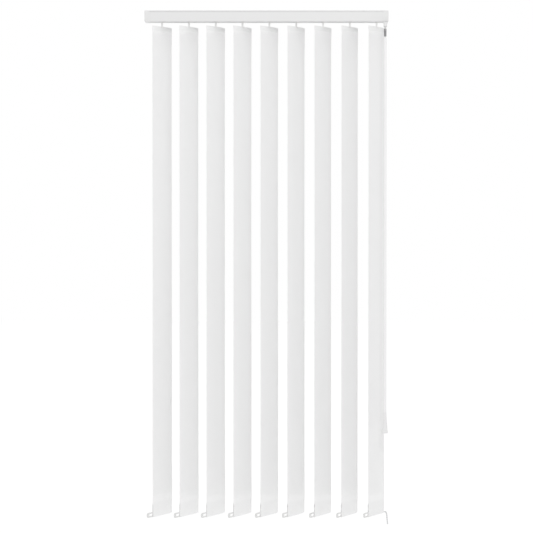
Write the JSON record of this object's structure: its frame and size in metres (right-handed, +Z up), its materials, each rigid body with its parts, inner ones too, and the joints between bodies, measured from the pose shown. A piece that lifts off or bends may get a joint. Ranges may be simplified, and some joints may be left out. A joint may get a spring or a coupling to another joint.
{
  "type": "vertical blind",
  "caption": "Vertical blind: pale fabric slats hang from geared carriers in a slim headrail, turned by a wand and drawn to one side.",
  "frame": {"origin": "middle of the headrail's top face", "axes": "+Z up, +X along the rail to the wand's end, -Y towards the room"},
  "size_m": [0.7273, 0.1182, 1.5349],
  "materials": {
    "rail_enamel": "satin white powder coat",
    "cap_plastic": "moulded white plastic",
    "carrier_plastic": "moulded natural plastic",
    "worm_plastic": "moulded plastic",
    "rod_aluminium": "drawn, bright",
    "hanger_plastic": "moulded milky plastic",
    "slat_fabric": "stiffened white woven fabric",
    "weight_plastic": "pale grey plastic",
    "chain_plastic": "white beaded chain",
    "spindle_plastic": "moulded grey plastic",
    "hook_metal": "dark plated steel",
    "wand_plastic": "extruded white plastic",
    "grip_plastic": "moulded white plastic"
  },
  "bodies": {
    "rail": {"headrail": "rail_enamel", "end_cap_left": "cap_plastic", "end_cap_right": "cap_plastic", "carrier_1": "carrier_plastic"},
    "tilt_rod": {"tilt_rod": "rod_aluminium"},
    "worm_1": {"worm_1": "worm_plastic"},
    "vane_1": {"hanger_1": "hanger_plastic", "slat_1": "slat_fabric", "slat_weight_1": "weight_plastic"},
    "carrier_2": {"carrier_2": "carrier_plastic"},
    "worm_2": {"worm_2": "worm_plastic"},
    "vane_2": {"hanger_2": "hanger_plastic", "slat_2": "slat_fabric", "slat_weight_2": "weight_plastic"},
    "carrier_3": {"carrier_3": "carrier_plastic"},
    "worm_3": {"worm_3": "worm_plastic"},
    "vane_3": {"hanger_3": "hanger_plastic", "slat_3": "slat_fabric", "slat_weight_3": "weight_plastic"},
    "carrier_4": {"carrier_4": "carrier_plastic"},
    "worm_4": {"worm_4": "worm_plastic"},
    "vane_4": {"hanger_4": "hanger_plastic", "slat_4": "slat_fabric", "slat_weight_4": "weight_plastic"},
    "carrier_5": {"carrier_5": "carrier_plastic"},
    "worm_5": {"worm_5": "worm_plastic"},
    "vane_5": {"hanger_5": "hanger_plastic", "slat_5": "slat_fabric", "slat_weight_5": "weight_plastic"},
    "carrier_6": {"carrier_6": "carrier_plastic"},
    "worm_6": {"worm_6": "worm_plastic"},
    "vane_6": {"hanger_6": "hanger_plastic", "slat_6": "slat_fabric", "slat_weight_6": "weight_plastic"},
    "carrier_7": {"carrier_7": "carrier_plastic"},
    "worm_7": {"worm_7": "worm_plastic"},
    "vane_7": {"hanger_7": "hanger_plastic", "slat_7": "slat_fabric", "slat_weight_7": "weight_plastic"},
    "carrier_8": {"carrier_8": "carrier_plastic"},
    "worm_8": {"worm_8": "worm_plastic"},
    "vane_8": {"hanger_8": "hanger_plastic", "slat_8": "slat_fabric", "slat_weight_8": "weight_plastic"},
    "carrier_9": {"carrier_9": "carrier_plastic"},
    "worm_9": {"worm_9": "worm_plastic"},
    "vane_9": {"hanger_9": "hanger_plastic", "slat_9": "slat_fabric", "slat_weight_9": "weight_plastic", "chain_end": "chain_plastic"},
    "spindle": {"wand_spindle": "spindle_plastic"},
    "hook": {"wand_hook": "hook_metal"},
    "wand": {"wand_rod": "wand_plastic", "wand_grip": "grip_plastic"}
  },
  "joints": [
    {"name": "slat_tilt_1", "type": "hinge", "parent": "rail", "child": "vane_1", "pos_m": [-0.3095, 0, -0.0453], "axis": [0, 0, 1], "range_deg": [-45, 112.5]},
    {"name": "worm_turn_1", "type": "hinge", "parent": "rail", "child": "worm_1", "pos_m": [-0.3095, 0.0108, -0.018], "axis": [1, 0, 0], "range_deg": [-720, 1800]},
    {"name": "traverse_2", "type": "slide", "parent": "rail", "child": "carrier_2", "axis": [-1, 0, 0], "range_m": [0, 0.0545]},
    {"name": "slat_tilt_2", "type": "hinge", "parent": "carrier_2", "child": "vane_2", "pos_m": [-0.23, 0, -0.0453], "axis": [0, 0, 1], "range_deg": [-45, 112.5]},
    {"name": "worm_turn_2", "type": "hinge", "parent": "carrier_2", "child": "worm_2", "pos_m": [-0.23, 0.0108, -0.018], "axis": [1, 0, 0], "range_deg": [-720, 1800]},
    {"name": "traverse_3", "type": "slide", "parent": "rail", "child": "carrier_3", "axis": [-1, 0, 0], "range_m": [0, 0.109]},
    {"name": "slat_tilt_3", "type": "hinge", "parent": "carrier_3", "child": "vane_3", "pos_m": [-0.1505, 0, -0.0453], "axis": [0, 0, 1], "range_deg": [-45, 112.5]},
    {"name": "worm_turn_3", "type": "hinge", "parent": "carrier_3", "child": "worm_3", "pos_m": [-0.1505, 0.0108, -0.018], "axis": [1, 0, 0], "range_deg": [-720, 1800]},
    {"name": "traverse_4", "type": "slide", "parent": "rail", "child": "carrier_4", "axis": [-1, 0, 0], "range_m": [0, 0.1635]},
    {"name": "slat_tilt_4", "type": "hinge", "parent": "carrier_4", "child": "vane_4", "pos_m": [-0.071, 0, -0.0453], "axis": [0, 0, 1], "range_deg": [-45, 112.5]},
    {"name": "worm_turn_4", "type": "hinge", "parent": "carrier_4", "child": "worm_4", "pos_m": [-0.071, 0.0108, -0.018], "axis": [1, 0, 0], "range_deg": [-720, 1800]},
    {"name": "traverse_5", "type": "slide", "parent": "rail", "child": "carrier_5", "axis": [-1, 0, 0], "range_m": [0, 0.218]},
    {"name": "slat_tilt_5", "type": "hinge", "parent": "carrier_5", "child": "vane_5", "pos_m": [0.0085, 0, -0.0453], "axis": [0, 0, 1], "range_deg": [-45, 112.5]},
    {"name": "worm_turn_5", "type": "hinge", "parent": "carrier_5", "child": "worm_5", "pos_m": [0.0085, 0.0108, -0.018], "axis": [1, 0, 0], "range_deg": [-720, 1800]},
    {"name": "traverse_6", "type": "slide", "parent": "rail", "child": "carrier_6", "axis": [-1, 0, 0], "range_m": [0, 0.2725]},
    {"name": "slat_tilt_6", "type": "hinge", "parent": "carrier_6", "child": "vane_6", "pos_m": [0.088, 0, -0.0453], "axis": [0, 0, 1], "range_deg": [-45, 112.5]},
    {"name": "worm_turn_6", "type": "hinge", "parent": "carrier_6", "child": "worm_6", "pos_m": [0.088, 0.0108, -0.018], "axis": [1, 0, 0], "range_deg": [-720, 1800]},
    {"name": "traverse_7", "type": "slide", "parent": "rail", "child": "carrier_7", "axis": [-1, 0, 0], "range_m": [0, 0.327]},
    {"name": "slat_tilt_7", "type": "hinge", "parent": "carrier_7", "child": "vane_7", "pos_m": [0.1675, 0, -0.0453], "axis": [0, 0, 1], "range_deg": [-45, 112.5]},
    {"name": "worm_turn_7", "type": "hinge", "parent": "carrier_7", "child": "worm_7", "pos_m": [0.1675, 0.0108, -0.018], "axis": [1, 0, 0], "range_deg": [-720, 1800]},
    {"name": "traverse_8", "type": "slide", "parent": "rail", "child": "carrier_8", "axis": [-1, 0, 0], "range_m": [0, 0.3815]},
    {"name": "slat_tilt_8", "type": "hinge", "parent": "carrier_8", "child": "vane_8", "pos_m": [0.247, 0, -0.0453], "axis": [0, 0, 1], "range_deg": [-45, 112.5]},
    {"name": "worm_turn_8", "type": "hinge", "parent": "carrier_8", "child": "worm_8", "pos_m": [0.247, 0.0108, -0.018], "axis": [1, 0, 0], "range_deg": [-720, 1800]},
    {"name": "traverse_9", "type": "slide", "parent": "rail", "child": "carrier_9", "axis": [-1, 0, 0], "range_m": [0, 0.436]},
    {"name": "slat_tilt_9", "type": "hinge", "parent": "carrier_9", "child": "vane_9", "pos_m": [0.3265, 0, -0.0453], "axis": [0, 0, 1], "range_deg": [-45, 112.5]},
    {"name": "worm_turn_9", "type": "hinge", "parent": "carrier_9", "child": "worm_9", "pos_m": [0.3265, 0.0108, -0.018], "axis": [1, 0, 0], "range_deg": [-720, 1800]},
    {"name": "rod_turn", "type": "hinge", "parent": "rail", "child": "tilt_rod", "pos_m": [0, 0.0108, -0.018], "axis": [1, 0, 0], "range_deg": [-720, 1800]},
    {"name": "wand_twist", "type": "hinge", "parent": "rail", "child": "spindle", "pos_m": [0.3479, -0.0545, -0.0585], "axis": [0, 0, 1], "range_deg": [-720, 1800]},
    {"name": "hook_swing", "type": "hinge", "parent": "spindle", "child": "hook", "pos_m": [0.3479, -0.0545, -0.0585], "axis": [-1, 0, 0], "range_deg": [0, 45]},
    {"name": "wand_swing", "type": "hinge", "parent": "hook", "child": "wand", "pos_m": [0.3479, -0.0545, -0.076], "axis": [0, 1, 0], "range_deg": [-20, 20]}
  ],
  "couplings": [
    {"joint": "worm_turn_1", "follows": "slat_tilt_1", "ratio": 16},
    {"joint": "traverse_2", "follows": "traverse_9", "ratio": 0.125},
    {"joint": "slat_tilt_2", "follows": "slat_tilt_1", "ratio": 1},
    {"joint": "worm_turn_2", "follows": "slat_tilt_1", "ratio": 16},
    {"joint": "traverse_3", "follows": "traverse_9", "ratio": 0.25},
    {"joint": "slat_tilt_3", "follows": "slat_tilt_1", "ratio": 1},
    {"joint": "worm_turn_3", "follows": "slat_tilt_1", "ratio": 16},
    {"joint": "traverse_4", "follows": "traverse_9", "ratio": 0.375},
    {"joint": "slat_tilt_4", "follows": "slat_tilt_1", "ratio": 1},
    {"joint": "worm_turn_4", "follows": "slat_tilt_1", "ratio": 16},
    {"joint": "traverse_5", "follows": "traverse_9", "ratio": 0.5},
    {"joint": "slat_tilt_5", "follows": "slat_tilt_1", "ratio": 1},
    {"joint": "worm_turn_5", "follows": "slat_tilt_1", "ratio": 16},
    {"joint": "traverse_6", "follows": "traverse_9", "ratio": 0.625},
    {"joint": "slat_tilt_6", "follows": "slat_tilt_1", "ratio": 1},
    {"joint": "worm_turn_6", "follows": "slat_tilt_1", "ratio": 16},
    {"joint": "traverse_7", "follows": "traverse_9", "ratio": 0.75},
    {"joint": "slat_tilt_7", "follows": "slat_tilt_1", "ratio": 1},
    {"joint": "worm_turn_7", "follows": "slat_tilt_1", "ratio": 16},
    {"joint": "traverse_8", "follows": "traverse_9", "ratio": 0.875},
    {"joint": "slat_tilt_8", "follows": "slat_tilt_1", "ratio": 1},
    {"joint": "worm_turn_8", "follows": "slat_tilt_1", "ratio": 16},
    {"joint": "slat_tilt_9", "follows": "slat_tilt_1", "ratio": 1},
    {"joint": "worm_turn_9", "follows": "slat_tilt_1", "ratio": 16},
    {"joint": "rod_turn", "follows": "slat_tilt_1", "ratio": 16},
    {"joint": "wand_twist", "follows": "slat_tilt_1", "ratio": 16}
  ]
}
